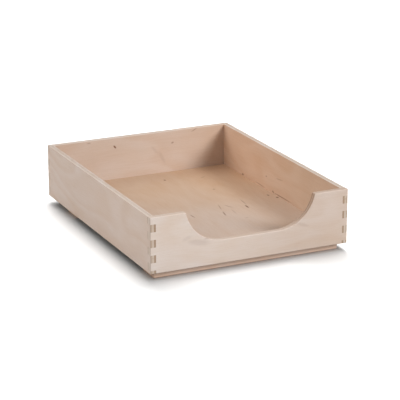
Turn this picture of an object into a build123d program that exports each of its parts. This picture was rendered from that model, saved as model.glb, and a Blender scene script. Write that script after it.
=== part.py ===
from build123d import *
import math
import os

# Letter tray in birch plywood, with a scooped front, that stacks on another tray of its kind.
# Four walls meet at the corners in box joints: straight fingers that interlock and are glued.
# A thin bottom panel sits in grooves in all four walls. Two cleats glued and pinned under it
# stand the walls clear of the table, and drop between the walls of a tray underneath.
#
# Frame: the origin is on the table, below the middle of the tray. +X is to the right, +Y to the
# back and +Z up, so the scooped front faces -Y. All sizes are in millimetres.

# Tray
tray_width = 250.0
tray_depth = 320.0
wall_height = 66.0
wall_thickness = 7.0

# Box joints: each finger is as high as the gap beside it, counted down from the rim
finger_height = 9.0
rim_finger_height = 8.0

# Bottom panel and the grooves that hold it
bottom_thickness = 4.0
bottom_rise = 7.5  # from the walls' lower edges to the panel's underside
bottom_edge_in_groove = 3.0
groove_depth = 3.2

# Scoop in the front panel: a flat floor with a large quarter round at each end
scoop_depth = 38.0
scoop_floor_length = 70.0
scoop_radius = 47.0
scoop_lip_radius = 1.5  # where the scoop runs out at the rim

# Cleats
cleat_width = 30.0
cleat_drop = 9.0  # how far the cleats stand below the walls' lower edges
cleat_end_gap = 0.5  # to the side panels' inner faces
front_cleat_setback = 9.0  # from the front panel's outer face
rear_cleat_setback = 48.0  # from the back panel's outer face
cleat_corner_radius = 2.0
cleat_arris_radius = 1.5

# Headless pins, driven up through each cleat into the bottom panel
pin_diameter = 1.4
pin_point_length = 0.5
pin_count = 4
pin_pitch = 66.0
pin_recess = 0.5  # below the cleat's surface
pin_grip = 2.5  # into the bottom panel

# Edges rounded by sanding after the walls are glued up
corner_radius = 1.2  # upright corners
arris_radius = 0.8  # rim, scoop and lower edges
length_tolerance = 0.01  # for finding edges by their length

# Derived sizes and places
half_width = tray_width / 2
half_depth = tray_depth / 2
inner_width = tray_width - 2 * wall_thickness
inner_depth = tray_depth - 2 * wall_thickness
wall_base = cleat_drop
wall_top = wall_base + wall_height
wall_middle = wall_base + wall_height / 2
bottom_level = wall_base + bottom_rise
scoop_floor = wall_top - scoop_depth
scoop_sweep = math.degrees(math.acos(1 - scoop_depth / scoop_radius))
cleat_length = inner_width - 2 * cleat_end_gap
cleat_thickness = bottom_level
front_cleat_plane = Plane((0, front_cleat_setback + cleat_width / 2 - half_depth, 0))
rear_cleat_plane = Plane((0, half_depth - rear_cleat_setback - cleat_width / 2, 0))
pin_length = bottom_level + pin_grip - pin_recess

# The side panels' fingers, as pairs of lowest and highest level. The front and back panels fill
# the levels in between.
side_fingers = []
finger_top = wall_top - rim_finger_height
while finger_top > wall_base:
    side_fingers.append((max(finger_top - finger_height, wall_base), finger_top))
    finger_top -= 2 * finger_height


def draw_side_panel():
    """Draw a side panel in the open sketch: inner length, with fingers out to full length."""
    with Locations((0, wall_middle)):
        Rectangle(inner_depth, wall_height)
    for low, high in side_fingers:
        with Locations((0, (low + high) / 2)):
            Rectangle(tray_depth, high - low)


def draw_end_panel():
    """Draw the front or back panel in the open sketch, notched for the side panels' fingers."""
    with Locations((0, wall_middle)):
        Rectangle(tray_width, wall_height)
    notch_x = half_width - wall_thickness / 2
    for low, high in side_fingers:
        with Locations((-notch_x, (low + high) / 2), (notch_x, (low + high) / 2)):
            Rectangle(wall_thickness, high - low, mode=Mode.SUBTRACT)


def cut_groove():
    """Cut the groove for the bottom panel into the wall panel being built."""
    with BuildSketch(Plane.XY.offset(bottom_level)) as groove:
        Rectangle(inner_width + 2 * groove_depth, inner_depth + 2 * groove_depth)
    extrude(groove.sketch, amount=bottom_thickness, mode=Mode.SUBTRACT)


def drill_pin_holes(cleat_plane):
    """Drill one cleat's row of pin holes into the piece being built, to the pins' full height."""
    with BuildSketch(cleat_plane) as holes:
        with GridLocations(pin_pitch, 0, pin_count, 1):
            Circle(pin_diameter / 2)
    extrude(holes.sketch, amount=pin_recess + pin_length, mode=Mode.SUBTRACT)


def finish_piece(piece, name):
    """Label a finished piece and write it to its own file."""
    piece.label = name
    export_step(piece, f"parts/{name}.step")


os.makedirs("parts", exist_ok=True)

# The four walls as one ring, with every edge rounded. Each panel below is cut to this shape, so
# the rounded edges run on across the corner joints as they do when the glued-up tray is sanded.
with BuildPart() as sanded_walls:
    with BuildSketch(Plane.XY.offset(wall_base)):
        Rectangle(tray_width, tray_depth)
        Rectangle(inner_width, inner_depth, mode=Mode.SUBTRACT)
    extrude(amount=wall_height)
    with BuildSketch(Plane.XZ.offset(half_depth)):
        with BuildLine():
            arc_x = scoop_floor_length / 2
            arc_z = scoop_floor + scoop_radius
            Line((-arc_x, scoop_floor), (arc_x, scoop_floor))
            right_arc = CenterArc((arc_x, arc_z), scoop_radius, -90, scoop_sweep)
            left_arc = CenterArc((-arc_x, arc_z), scoop_radius, -90, -scoop_sweep)
            Line(left_arc @ 1, right_arc @ 1)
        make_face()
    extrude(amount=-wall_thickness, mode=Mode.SUBTRACT)
    across_walls = sanded_walls.edges().filter_by(Axis.Y).filter_by(
        lambda edge: abs(edge.length - wall_thickness) < length_tolerance
    )
    fillet(across_walls.group_by(Axis.Z)[-1], scoop_lip_radius)
    sharp_uprights = sanded_walls.edges().filter_by(Axis.Z)
    fillet(sharp_uprights.group_by(lambda edge: abs(edge.center().X))[-1], corner_radius)
    uprights = sanded_walls.edges().filter_by(Axis.Z)
    outlines = sanded_walls.edges().filter_by(
        lambda edge: edge not in uprights and abs(edge.length - wall_thickness) > length_tolerance
    )
    fillet(outlines, arris_radius)

# Side panels
with BuildPart() as left_side:
    with BuildSketch(Plane.YZ.offset(-half_width)):
        draw_side_panel()
    extrude(amount=wall_thickness)
    cut_groove()
    add(sanded_walls.part, mode=Mode.INTERSECT)
finish_piece(left_side.part, "left_side")

with BuildPart() as right_side:
    mirror(left_side.part, about=Plane.YZ)
finish_piece(right_side.part, "right_side")

# Front and back panels
with BuildPart() as front_panel:
    with BuildSketch(Plane.XZ.offset(half_depth)):
        draw_end_panel()
    extrude(amount=-wall_thickness)
    cut_groove()
    add(sanded_walls.part, mode=Mode.INTERSECT)
finish_piece(front_panel.part, "front_panel")

with BuildPart() as back_panel:
    with BuildSketch(Plane.XZ.offset(-half_depth)):
        draw_end_panel()
    extrude(amount=wall_thickness)
    cut_groove()
    add(sanded_walls.part, mode=Mode.INTERSECT)
finish_piece(back_panel.part, "back_panel")

# Bottom panel, with a blind hole for the end of each pin
with BuildPart() as bottom_panel:
    with BuildSketch(Plane.XY.offset(bottom_level)):
        Rectangle(inner_width + 2 * bottom_edge_in_groove, inner_depth + 2 * bottom_edge_in_groove)
    extrude(amount=bottom_thickness)
    drill_pin_holes(front_cleat_plane)
    drill_pin_holes(rear_cleat_plane)
finish_piece(bottom_panel.part, "bottom_panel")

# Cleats and their pins
for position, cleat_plane in (("front", front_cleat_plane), ("rear", rear_cleat_plane)):
    with BuildPart() as cleat:
        with BuildSketch(cleat_plane):
            Rectangle(cleat_length, cleat_width)
        extrude(amount=cleat_thickness)
        fillet(cleat.edges().filter_by(Axis.Z), cleat_corner_radius)
        fillet(cleat.faces().sort_by(Axis.Z)[0].edges(), cleat_arris_radius)
        drill_pin_holes(cleat_plane)
    finish_piece(cleat.part, f"{position}_cleat")

    with BuildPart() as pins:
        with BuildSketch(cleat_plane.offset(pin_recess)):
            with GridLocations(pin_pitch, 0, pin_count, 1):
                Circle(pin_diameter / 2)
        extrude(amount=pin_length)
        chamfer(pins.edges().group_by(Axis.Z)[-1], pin_point_length)
    finish_piece(pins.part, f"{position}_cleat_pins")
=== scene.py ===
"""A stacking letter tray in birch plywood: the finish of every piece, the studio and the camera."""
import math

import bpy
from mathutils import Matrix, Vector


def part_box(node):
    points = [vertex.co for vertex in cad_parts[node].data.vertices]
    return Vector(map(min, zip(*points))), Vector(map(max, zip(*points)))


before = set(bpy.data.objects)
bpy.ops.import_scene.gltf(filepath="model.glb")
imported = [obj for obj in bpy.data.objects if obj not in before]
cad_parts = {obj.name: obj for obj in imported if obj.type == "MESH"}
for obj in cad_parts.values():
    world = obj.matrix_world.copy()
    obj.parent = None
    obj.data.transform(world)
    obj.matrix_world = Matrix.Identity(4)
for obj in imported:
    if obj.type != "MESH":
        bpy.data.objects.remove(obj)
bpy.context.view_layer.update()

MM = 0.001
X, Y, Z = 0, 1, 2


# ---------------------------------------------------------------- node graphs


class Graph:
    """One procedural material. Every input takes a number, a tuple or another node's output."""

    def __init__(self, name):
        self.material = bpy.data.materials.new(name)
        self.material.use_nodes = True
        self.tree = self.material.node_tree
        self.tree.nodes.clear()

    def node(self, kind, inputs, output=0, **settings):
        made = self.tree.nodes.new(kind)
        for setting, value in settings.items():
            setattr(made, setting, value)
        for key, value in inputs.items():
            if isinstance(value, bpy.types.NodeSocket):
                self.tree.links.new(value, made.inputs[key])
            else:
                made.inputs[key].default_value = value
        return made.outputs[output] if made.outputs else made

    def math(self, operation, *values):
        return self.node("ShaderNodeMath", dict(enumerate(values)), operation=operation)

    def scaled(self, value, factor, plus=0.0):
        return self.math("MULTIPLY_ADD", value, factor, plus)

    def vector(self, x, y, z):
        return self.node("ShaderNodeCombineXYZ", {0: x, 1: y, 2: z})

    def noise(self, vector, detail=2.0, roughness=0.5):
        inputs = {"Vector": vector, "Scale": 1.0, "Detail": detail, "Roughness": roughness}
        return self.node("ShaderNodeTexNoise", inputs, noise_dimensions="3D")

    def ease(self, value, start, end, low=0.0, high=1.0):
        """low up to start, high from end on, and a smooth step between."""
        inputs = {0: value, 1: start, 2: end, 3: low, 4: high}
        return self.node("ShaderNodeMapRange", inputs, interpolation_type="SMOOTHSTEP")

    def choose(self, factor, first, second):
        """One of two numbers: first where factor is 0, second where it is 1."""
        return self.node("ShaderNodeMix", {0: factor, 2: first, 3: second}, data_type="FLOAT")

    def mix(self, factor, first, second, blend="MIX"):
        """One of two colours, or a blend of them."""
        inputs = {0: factor, 6: first, 7: second}
        return self.node("ShaderNodeMix", inputs, output=2, data_type="RGBA", blend_type=blend)

    def stained(self, factor, colour, tint_colour):
        """A colour that is multiplied by a second colour where factor is 1: the wood's own tones
        and marks, and on some boards painted light and shade.
        """
        return self.mix(factor, colour, self.mix(1.0, colour, tint_colour, "MULTIPLY"))

    def finish(self, colour, roughness, height, relief, **plain):
        """The shader: height runs from 0 to 1 over a relief in metres."""
        normal = self.node("ShaderNodeBump", {"Height": height, "Distance": relief})
        inputs = {"Base Color": colour, "Roughness": roughness, "Normal": normal}
        inputs.update(plain)
        shader = self.node("ShaderNodeBsdfPrincipled", inputs)
        self.node("ShaderNodeOutputMaterial", {"Surface": shader})
        return self.material


# ------------------------------------------------------------------ birch wood

WOOD_RELIEF = 0.06 * MM
WOOD_IOR = 1.45
GLUE_LINE = 0.12 * MM  # how far a glue line's colour reaches from the joint
MARK_DEPTH = 0.5 * MM  # how far a face's marks go into its edges

# Where the tints change, measured from the middle of a board. The near, far and beyond tints are
# painted light and shade.
SCOOP_UNTIL = 90 * MM  # cut edges across the grain belong to the scoop as far as here
FINGERS_FROM = 100 * MM  # and to the fingers from here on
TINT_REACH = 100 * MM  # a board is all "near" this far before its middle and all "far" after it
# The beyond tint is painted light towards one side of a board: it starts here and is full at
# BEYOND_FULL.
BEYOND_FROM = 20 * MM
BEYOND_FULL = 100 * MM

# Colours are linear RGB.
CUT_EDGE = (0.660, 0.580, 0.530)
FRONT_OUT = (0.625, 0.535, 0.480)
FRONT_EDGE = (0.600, 0.500, 0.435)
SIDE_OUT = (0.658, 0.540, 0.472)
BACK_IN = (0.585, 0.476, 0.410)
# Partly painted shade: the sides' inner faces are darker, warmer and more saturated than their
# outer faces, as the shaded inside of the tray looks.
SHADED_SIDE_IN = (0.630, 0.450, 0.335)
FLOOR_UP = (0.590, 0.450, 0.350)
CLEAT = (0.660, 0.490, 0.400)
PANEL_TIP = (0.620, 0.525, 0.460)
PANEL_END = (0.860, 0.830, 0.800)
NO_TINT = (1, 1, 1)


def tones(outer, inner, **changes):
    """The colours of one board, and the tints that multiply them.

    outer and inner are its faces. Its cut edges are edge along the grain and, across the grain,
    scoop near the middle and tip near the ends; the scoop colour is partly painted shade. near,
    far and beyond tint the whole board, from one end to the other and towards one side: these
    tints are painted light and shade. wave is how much of the figure tint shows.
    """
    colours = {
        "outer": outer,
        "inner": inner,
        "edge": CUT_EDGE,
        "tip": (0.560, 0.470, 0.400),
        # Partly painted shade: the scoop's cut edges are a darker brown than the other cuts, partly
        # for their end grain and partly for the face turned away from the key lamp.
        "scoop": (0.480, 0.350, 0.270),
        "warm": (0.97, 0.93, 0.88),
        "figure": (0.93, 0.86, 0.79),
        "fibre": (0.96, 0.94, 0.91),
        "pore": (0.80, 0.72, 0.64),
        "end": (0.70, 0.62, 0.55),
        "glue": (0.62, 0.50, 0.40),
        # Dark marks: knots and flecks, and on the right side painted shade along the floor joint.
        "knot_and_shade": (0.17, 0.075, 0.04),
        "near": NO_TINT,
        "far": NO_TINT,
        "beyond": NO_TINT,
    }
    wave = changes.pop("wave", 0.5)
    colours.update(changes)
    shades = {name: (*colour, 1) for name, colour in colours.items()}
    shades["wave"] = wave
    return shades


class Board:
    """A board's own directions: u along the face grain, v across it and depth in from a face."""

    def __init__(self, graph, grain, across, face, thickness, plies, inward):
        self.thickness = thickness
        self.ply = thickness / plies
        place = graph.node("ShaderNodeTexCoord", {}, output="Object")
        normal = graph.node("ShaderNodeTexCoord", {}, output="Normal")
        at = graph.node("ShaderNodeSeparateXYZ", {0: place}).node.outputs
        facing = graph.node("ShaderNodeSeparateXYZ", {0: normal}).node.outputs
        through = ({X, Y, Z} - {grain, across}).pop()
        self.u = at[grain]
        self.v = at[across]
        self.depth = graph.scaled(at[through], inward, -inward * face)
        self.along_u = graph.math("ABSOLUTE", facing[grain])
        self.along_v = graph.math("ABSOLUTE", facing[across])
        self.on_face = graph.ease(graph.math("ABSOLUTE", facing[through]), 0.4, 0.9)
        number = graph.math("FLOOR", graph.math("DIVIDE", self.depth, self.ply))
        self.number = graph.math("MINIMUM", graph.math("MAXIMUM", number, 0.0), plies - 1)
        self.crossed = graph.math("PINGPONG", self.number, 1.0)


def mark(graph, board, spot):
    """How strongly one dark mark shows: its own strength at its middle, and 0 past its outline."""
    along, across, length, width, turn, strength = spot
    inputs = {
        "Vector": graph.vector(board.u, board.v, 0.0),
        "Location": (along * MM, across * MM, 0.0),
        "Rotation": (0.0, 0.0, math.radians(turn)),
        "Scale": (length * MM / 2, width * MM / 2, 1.0),
    }
    local = graph.node("ShaderNodeMapping", inputs, vector_type="TEXTURE")
    distance = graph.node("ShaderNodeVectorMath", {0: local}, output=1, operation="LENGTH")
    return graph.ease(distance, 0.35, 1.1, strength, 0.0)


def face_marks(graph, board, spots, side, limit):
    """The strongest mark at each place, kept to the face on that side of a limit of depth."""
    total = 0.0
    for spot in spots:
        total = graph.math("MAXIMUM", total, mark(graph, board, spot))
    return graph.math("MULTIPLY", total, graph.math(side, board.depth, limit))


def veneer_pattern(graph, u, v, seed):
    """Rotary-cut birch seen from its face: figure, clouds, fibres and pores, each from 0 to 1.

    What u and v are multiplied by is about how many features there are to a metre.
    """
    sway = graph.noise(graph.vector(graph.scaled(u, 9), graph.scaled(v, 9), seed), detail=1)
    bent = graph.math("ADD", v, graph.scaled(sway, 0.012))
    hills = graph.noise(graph.vector(graph.scaled(u, 5.5), graph.scaled(bent, 15), seed), detail=1)
    rings = graph.math("FRACT", graph.scaled(hills, 9.0))
    figure = graph.math("SUBTRACT", graph.ease(rings, 0.0, 0.72), graph.ease(rings, 0.72, 1.0))
    cloud_at = graph.vector(graph.scaled(u, 14), graph.scaled(v, 34), seed)
    clouds = graph.noise(cloud_at, detail=3, roughness=0.55)
    fibre_at = graph.vector(graph.scaled(u, 38), graph.scaled(bent, 900), seed)
    fibres = graph.noise(fibre_at, detail=3, roughness=0.65)
    pore_at = graph.vector(graph.scaled(u, 420), graph.scaled(bent, 6500), seed)
    pores = graph.ease(graph.noise(pore_at, detail=1), 0.62, 0.74)
    return figure, clouds, fibres, pores


def base_colour(graph, board, shades):
    """The board's faces and cut edges, with painted light and shade tinted along and across it,
    before any grain.
    """
    past_middle = graph.math("GREATER_THAN", board.depth, board.thickness / 2)
    face = graph.mix(past_middle, shades["outer"], shades["inner"])
    from_middle = graph.math("ABSOLUTE", board.u)
    in_scoop = graph.ease(from_middle, SCOOP_UNTIL, FINGERS_FROM, 1.0, 0.0)
    across_grain = graph.mix(in_scoop, shades["tip"], shades["scoop"])
    cut = graph.mix(graph.ease(board.along_u, 0.2, 0.8), shades["edge"], across_grain)
    colour = graph.mix(board.on_face, cut, face)
    # Painted light and shade: near and far tint the board from one end to the other, and beyond
    # lightens it towards one side.
    towards_far = graph.ease(board.u, -TINT_REACH, TINT_REACH)
    painted_light_tint = graph.mix(towards_far, shades["near"], shades["far"])
    colour = graph.mix(1.0, colour, painted_light_tint, "MULTIPLY")
    return graph.stained(graph.ease(board.v, BEYOND_FROM, BEYOND_FULL), colour, shades["beyond"])


def birch(name, shades, board_at, marks_out=(), marks_in=(), seed=1.0):
    """Birch plywood, or solid birch where plies is 1."""
    graph = Graph(name)
    board = Board(graph, *board_at)
    ply_seed = graph.scaled(board.number, 3.7, seed)

    # A crossed ply has its grain along v.
    grain = graph.choose(board.crossed, board.u, board.v)
    across = graph.choose(board.crossed, board.v, board.u)
    end_on = graph.choose(board.crossed, board.along_u, board.along_v)
    end_grain = graph.ease(end_on, 0.45, 0.95)

    figure, clouds, fibres, pores = veneer_pattern(graph, grain, across, ply_seed)
    colour = base_colour(graph, board, shades)
    colour = graph.stained(graph.ease(clouds, 0.3, 0.72), colour, shades["warm"])
    colour = graph.stained(graph.scaled(figure, shades["wave"]), colour, shades["figure"])
    colour = graph.stained(graph.ease(fibres, 0.35, 0.75), colour, shades["fibre"])
    colour = graph.stained(graph.scaled(pores, 0.5), colour, shades["pore"])

    # The sawn ends of the fibres are darker and mottled. They show half as strongly in a crossed
    # ply, and half as strongly again in the outer half of the board.
    cut_at = graph.vector(
        graph.scaled(board.u, 900), graph.scaled(board.v, 900), graph.scaled(board.depth, 2600)
    )
    mottle = graph.noise(cut_at, detail=2)
    sawn = graph.mix(1.0, colour, shades["end"], "MULTIPLY")
    sawn = graph.stained(graph.ease(mottle, 0.3, 0.8), sawn, shades["pore"])
    shown = graph.math("MULTIPLY", end_grain, graph.scaled(board.crossed, -0.5, 1.0))
    half_in, well_in = 0.55 * board.thickness, 0.75 * board.thickness
    inner_part = graph.ease(board.depth, half_in, well_in, 0.5, 1.0)
    colour = graph.mix(graph.math("MULTIPLY", shown, inner_part), colour, sawn)

    # Glue lines between the plies, and none at the two faces.
    from_joint = graph.math("PINGPONG", board.depth, board.ply / 2)
    glue = graph.ease(from_joint, 0.0, GLUE_LINE, 1.0, 0.0)
    reach = (board.thickness - board.ply) / 2
    within = graph.math("COMPARE", board.depth, board.thickness / 2, reach)
    glue = graph.math("MULTIPLY", glue, within)
    colour = graph.stained(graph.scaled(glue, 0.6), colour, shades["glue"])

    if marks_out:
        dark = face_marks(graph, board, marks_out, "LESS_THAN", MARK_DEPTH)
        colour = graph.mix(dark, colour, shades["knot_and_shade"])
    # The inner face's dark marks; on the right side they include painted shade along the floor
    # joint.
    if marks_in:
        limit = board.thickness - MARK_DEPTH
        dark = face_marks(graph, board, marks_in, "GREATER_THAN", limit)
        colour = graph.mix(dark, colour, shades["knot_and_shade"])

    rough = graph.scaled(fibres, 0.18, 0.46)
    rough = graph.math("ADD", rough, graph.scaled(end_grain, 0.16))
    height = graph.math("SUBTRACT", graph.scaled(fibres, 0.7), graph.scaled(pores, 0.3))
    height = graph.math("SUBTRACT", height, graph.scaled(glue, 0.5))
    return graph.finish(colour, rough, height, WOOD_RELIEF, IOR=WOOD_IOR)


# ------------------------------------------------------------------ steel wire

WIRE_RELIEF = 0.01 * MM
DULL_STEEL = (0.42, 0.41, 0.40, 1)
BRIGHT_STEEL = (0.60, 0.59, 0.57, 1)
STAINED_STEEL = (0.26, 0.22, 0.18, 1)


def steel(name):
    """Drawn wire with a dull, slightly stained surface."""
    graph = Graph(name)
    place = graph.node("ShaderNodeTexCoord", {}, output="Object")
    at = graph.node("ShaderNodeSeparateXYZ", {0: place}).node.outputs
    drawn_at = graph.vector(
        graph.scaled(at[X], 5000), graph.scaled(at[Y], 5000), graph.scaled(at[Z], 250)
    )
    drawn = graph.noise(drawn_at, detail=3, roughness=0.6)
    stain_at = graph.node("ShaderNodeVectorMath", {0: place, 3: 900.0}, operation="SCALE")
    stains = graph.noise(stain_at)
    clean = graph.mix(drawn, DULL_STEEL, BRIGHT_STEEL)
    colour = graph.mix(graph.ease(stains, 0.5, 0.8), clean, STAINED_STEEL)
    rough = graph.math("ADD", graph.scaled(drawn, 0.2, 0.22), graph.scaled(stains, 0.15))
    return graph.finish(colour, rough, drawn, WIRE_RELIEF, Metallic=1.0)


# ------------------------------------------------------------------ the pieces

# Knots, flecks and streaks are (u, v, length, width, turn, strength), in millimetres in the
# board's own directions, degrees and 0 to 1.
FRONT_MARKS = [
    (-66, 38, 34, 9, -10, 0.15),
    (-56, 41, 9, 1.6, -4, 0.35),
    (-80, 45, 16, 6, 20, 0.10),
    (66, 40, 22, 5, -20, 0.12),
]
BACK_MARKS = [
    (-36.5, 63, 6.5, 3.0, -50, 0.95),
    (44, 59, 5, 3, 20, 0.50),
    (75, 72.5, 11, 1.6, 28, 0.50),
    (-72, 72, 7, 2.2, 0, 0.35),
    (19, 52, 18, 5, -50, 0.10),
    (29, 41, 24, 6, -62, 0.12),
]
# The first four marks, about 22 mm up, lie along the joint with the tray floor: painted shade in
# that crease. The last two are flecks.
RIGHT_MARKS_AND_JOINT_SHADE = [
    (97, 22, 6, 3, 0, 0.80),
    (48, 22, 34, 1.6, 2, 0.45),
    (13, 22.5, 6, 3, 20, 0.75),
    (-12, 22, 60, 1.8, 0, 0.65),
    (32, 37.5, 4, 2.6, 0, 0.60),
    (-3, 43, 22, 2.2, -6, 0.28),
]
BOTTOM_MARKS = [
    (121, 18.5, 6, 3.4, 0, 0.95),
    (112, 68, 12, 2.8, 60, 0.30),
    (59.5, 58.5, 7, 4, 30, 0.35),
    (-8, 34, 26, 1.8, 14, 0.45),
    (-33, 28, 20, 2.6, 12, 0.65),
    (-10, 45, 18, 2.6, -20, 0.42),
    (-31, 42, 20, 1.6, 5, 0.35),
    (-2, 69, 26, 1.8, 6, 0.50),
    (-20, 65, 14, 3.0, 4, 0.95),
    (-26, -11, 15, 1.9, -4, 0.75),
    (-58, 46, 8, 3, 80, 0.20),
    (9, 109, 7, 3.4, 0, 0.70),
    (-4, 115, 6, 4, 0, 0.95),
]

PLYWOOD = 3
SOLID_WOOD = 1


def give(node, material):
    """Puts a material on a CAD node, whose mesh stays as it is."""
    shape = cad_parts[node]
    for slot in shape.material_slots:
        slot.material = material


left_low, left_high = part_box("left_side")
right_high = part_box("right_side")[1]
front_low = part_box("front_panel")[0]
back_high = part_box("back_panel")[1]
bottom_low, bottom_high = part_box("bottom_panel")
wall = left_high[X] - left_low[X]
sheet = bottom_high[Z] - bottom_low[Z]

# Each board is at (grain, across, outer face, thickness, plies, which way is in).
left_board = (Y, Z, left_low[X], wall, PLYWOOD, 1)
right_board = (Y, Z, right_high[X], wall, PLYWOOD, -1)
front_board = (X, Z, front_low[Y], wall, PLYWOOD, 1)
back_board = (X, Z, back_high[Y], wall, PLYWOOD, -1)
bottom_board = (Y, X, bottom_low[Z], sheet, PLYWOOD, 1)

# Painted light and shade in the near, far and beyond tints: the front is lighter at its left end
# and darker at its right, the back warmer towards the shaded right corner, the right side lighter
# and warmer towards the back, the left side darker towards the back, and the tray floor cooler at
# the front, darker and warmer at the back and lighter towards the right wall.
left_tones = tones(SIDE_OUT, SHADED_SIDE_IN, far=(0.950, 0.950, 0.950))
right_tones = tones(
    SIDE_OUT, SHADED_SIDE_IN,
    near=(0.980, 0.990, 0.980), far=(1.050, 1.030, 1.010),
)
front_tones = tones(
    FRONT_OUT, BACK_IN, edge=FRONT_EDGE, tip=PANEL_TIP, end=PANEL_END, wave=0.35,
    near=(1.080, 1.100, 1.123), far=(0.948, 0.911, 0.883),
)
back_tones = tones(
    FRONT_OUT, BACK_IN, tip=PANEL_TIP, end=PANEL_END,
    near=(0.990, 1.010, 1.030), far=(1.040, 1.010, 0.980),
)
bottom_tones = tones(
    FLOOR_UP, FLOOR_UP, wave=0.25,
    near=(0.940, 0.990, 1.090), far=(0.960, 0.910, 0.850), beyond=(1.170, 1.110, 1.030),
)
cleat_tones = tones(CLEAT, CLEAT, edge=CLEAT, tip=CLEAT, scoop=CLEAT)

give("left_side", birch("birch_left_side", left_tones, left_board, seed=11.0))
give("right_side", birch(
    "birch_right_side", right_tones, right_board, marks_in=RIGHT_MARKS_AND_JOINT_SHADE, seed=23.0
))
give("front_panel", birch(
    "birch_front_panel", front_tones, front_board, marks_out=FRONT_MARKS, seed=37.0
))
give("back_panel", birch(
    "birch_back_panel", back_tones, back_board, marks_in=BACK_MARKS, seed=41.0
))
give("bottom_panel", birch(
    "birch_bottom_panel", bottom_tones, bottom_board, marks_in=BOTTOM_MARKS, seed=53.0
))
for place, cleat in enumerate(("front_cleat", "rear_cleat")):
    low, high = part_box(cleat)
    cleat_board = (X, Z, low[Y], high[Y] - low[Y], SOLID_WOOD, 1)
    give(cleat, birch(f"birch_{cleat}", cleat_tones, cleat_board, seed=61.0 + 7 * place))
    give(f"{cleat}_pins", steel(f"steel_{cleat}_pins"))


# ---------------------------------------------------------------------- studio

FLOOR_REACH = 12.0
FLOOR_LEVEL = -0.1 * MM
FLOOR_SHADE = 0.9
BOUNCE_LEVEL = -0.2 * MM
BOUNCE_SHADE = 0.39
PAPER_ROUGHNESS = 0.9
PAPER_RELIEF = 0.02 * MM
LAMP_DISTANCE = 4.0
WORLD_STRENGTH = 0.315


def plane(name, half_width, height):
    """A flat square, facing up."""
    corners = [(-half_width, -half_width), (half_width, -half_width)]
    corners += [(half_width, half_width), (-half_width, half_width)]
    mesh = bpy.data.meshes.new(name)
    mesh.from_pydata([(x, y, height) for x, y in corners], [], [(0, 1, 2, 3)])
    square = bpy.data.objects.new(name, mesh)
    bpy.context.scene.collection.objects.link(square)
    return square


def paper(name, shade):
    """Matt white backdrop paper with a trace of tooth."""
    graph = Graph(name)
    place = graph.node("ShaderNodeTexCoord", {}, output="Object")
    tooth_at = graph.node("ShaderNodeVectorMath", {0: place, 3: 60.0}, operation="SCALE")
    tooth = graph.noise(tooth_at)
    white = (shade, shade, shade, 1)
    cream = (shade * 0.99, shade * 0.99, shade * 0.98, 1)
    return graph.finish(graph.mix(tooth, white, cream), PAPER_ROUGHNESS, tooth, PAPER_RELIEF)


def softbox(name, azimuth, elevation, spread, strength):
    """A square soft light, LAMP_DISTANCE away. Azimuth 0 is +X and 90 is +Y; spread is its size for
    each metre of distance, and strength is how bright it makes a white surface that faces it."""
    data = bpy.data.lights.new(name, "AREA")
    data.shape = "SQUARE"
    data.size = spread * LAMP_DISTANCE
    data.energy = strength * (math.pi * LAMP_DISTANCE) ** 2
    lamp = bpy.data.objects.new(name, data)
    turn = math.radians(azimuth)
    rise = math.radians(elevation)
    towards = Vector((
        math.cos(turn) * math.cos(rise), math.sin(turn) * math.cos(rise), math.sin(rise)
    ))
    lamp.location = towards * LAMP_DISTANCE
    lamp.rotation_euler = towards.to_track_quat("Z", "Y").to_euler()
    bpy.context.scene.collection.objects.link(lamp)
    return lamp


def strip(name, centre, width, length, radiance):
    """A long soft light facing straight down, its length along Y."""
    data = bpy.data.lights.new(name, "AREA")
    data.shape = "RECTANGLE"
    data.size = width
    data.size_y = length
    data.energy = radiance * math.pi * width * length
    lamp = bpy.data.objects.new(name, data)
    lamp.location = centre
    bpy.context.scene.collection.objects.link(lamp)
    return lamp


def only_lights(lamp, things):
    """Keeps a lamp's light off everything else."""
    group = bpy.data.collections.new(f"{lamp.name}_lights")
    for thing in things:
        group.objects.link(thing)
    lamp.light_linking.receiver_collection = group


# The floor that the camera sees. It throws no light at the object and no shadow.
floor = plane("floor", FLOOR_REACH, FLOOR_LEVEL)
floor.data.materials.append(paper("floor_paper", FLOOR_SHADE))
floor.visible_diffuse = False
floor.visible_glossy = False
floor.visible_shadow = False

# The light that the paper throws back at the object, which is less than the camera sees of it.
bounce = plane("floor_bounce", FLOOR_REACH, BOUNCE_LEVEL)
bounce.data.materials.append(paper("bounce_paper", BOUNCE_SHADE))
bounce.visible_camera = False

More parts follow.
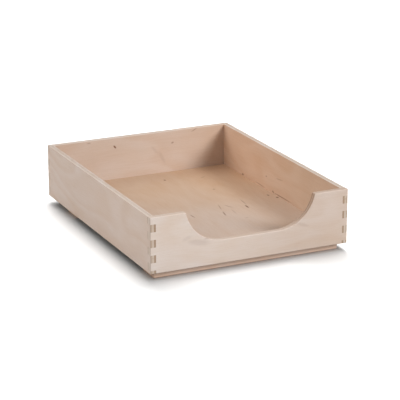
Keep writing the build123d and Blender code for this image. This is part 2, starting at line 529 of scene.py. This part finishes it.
world = bpy.data.worlds.new("studio")
world.use_nodes = True
background = world.node_tree.nodes["Background"]
background.inputs["Color"].default_value = (1, 1, 1, 1)
background.inputs["Strength"].default_value = WORLD_STRENGTH
bpy.context.scene.world = world

# The pieces and the table are lit apart, and the cleats, low under the walls, have a lamp more.
pieces = list(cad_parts.values())
cleats = [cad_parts["front_cleat"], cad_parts["rear_cleat"]]
table = [floor, bounce]
only_lights(softbox("key", azimuth=-56, elevation=32.3, spread=0.35, strength=0.893), pieces)
only_lights(softbox("left_fill", azimuth=180, elevation=30, spread=0.75, strength=0.297), pieces)
only_lights(softbox("back_fill", azimuth=135, elevation=40, spread=0.75, strength=0.413), pieces)
only_lights(softbox("table_glow", azimuth=-90, elevation=5, spread=0.5, strength=0.34), cleats)
only_lights(softbox("front_wash", azimuth=-100, elevation=57, spread=1.0, strength=0.5), table)
only_lights(strip("wash", centre=(0.78, 3.5, 3.35), width=1.8, length=7.0, radiance=8.8), table)


# ---------------------------------------------------------------------- camera

CAMERA_LENS = 157.8
CAMERA_SENSOR = 36.0
CAMERA_SEES_TO = 100.0
CAMERA_AIM = Vector((8.45, -5.8, 32.43)) * MM
CAMERA_AZIMUTH = math.radians(-25.245)
CAMERA_ELEVATION = math.radians(17.947)
CAMERA_DISTANCE = 2.1223

camera_data = bpy.data.cameras.new("camera")
camera_data.lens = CAMERA_LENS
camera_data.sensor_width = CAMERA_SENSOR
camera_data.clip_end = CAMERA_SEES_TO
camera = bpy.data.objects.new("camera", camera_data)
backwards = Vector((
    math.sin(CAMERA_AZIMUTH) * math.cos(CAMERA_ELEVATION),
    -math.cos(CAMERA_AZIMUTH) * math.cos(CAMERA_ELEVATION),
    math.sin(CAMERA_ELEVATION),
))
camera.location = CAMERA_AIM + backwards * CAMERA_DISTANCE
camera.rotation_euler = backwards.to_track_quat("Z", "Y").to_euler()
bpy.context.scene.collection.objects.link(camera)
bpy.context.scene.camera = camera
bpy.context.scene.view_settings.view_transform = "Standard"
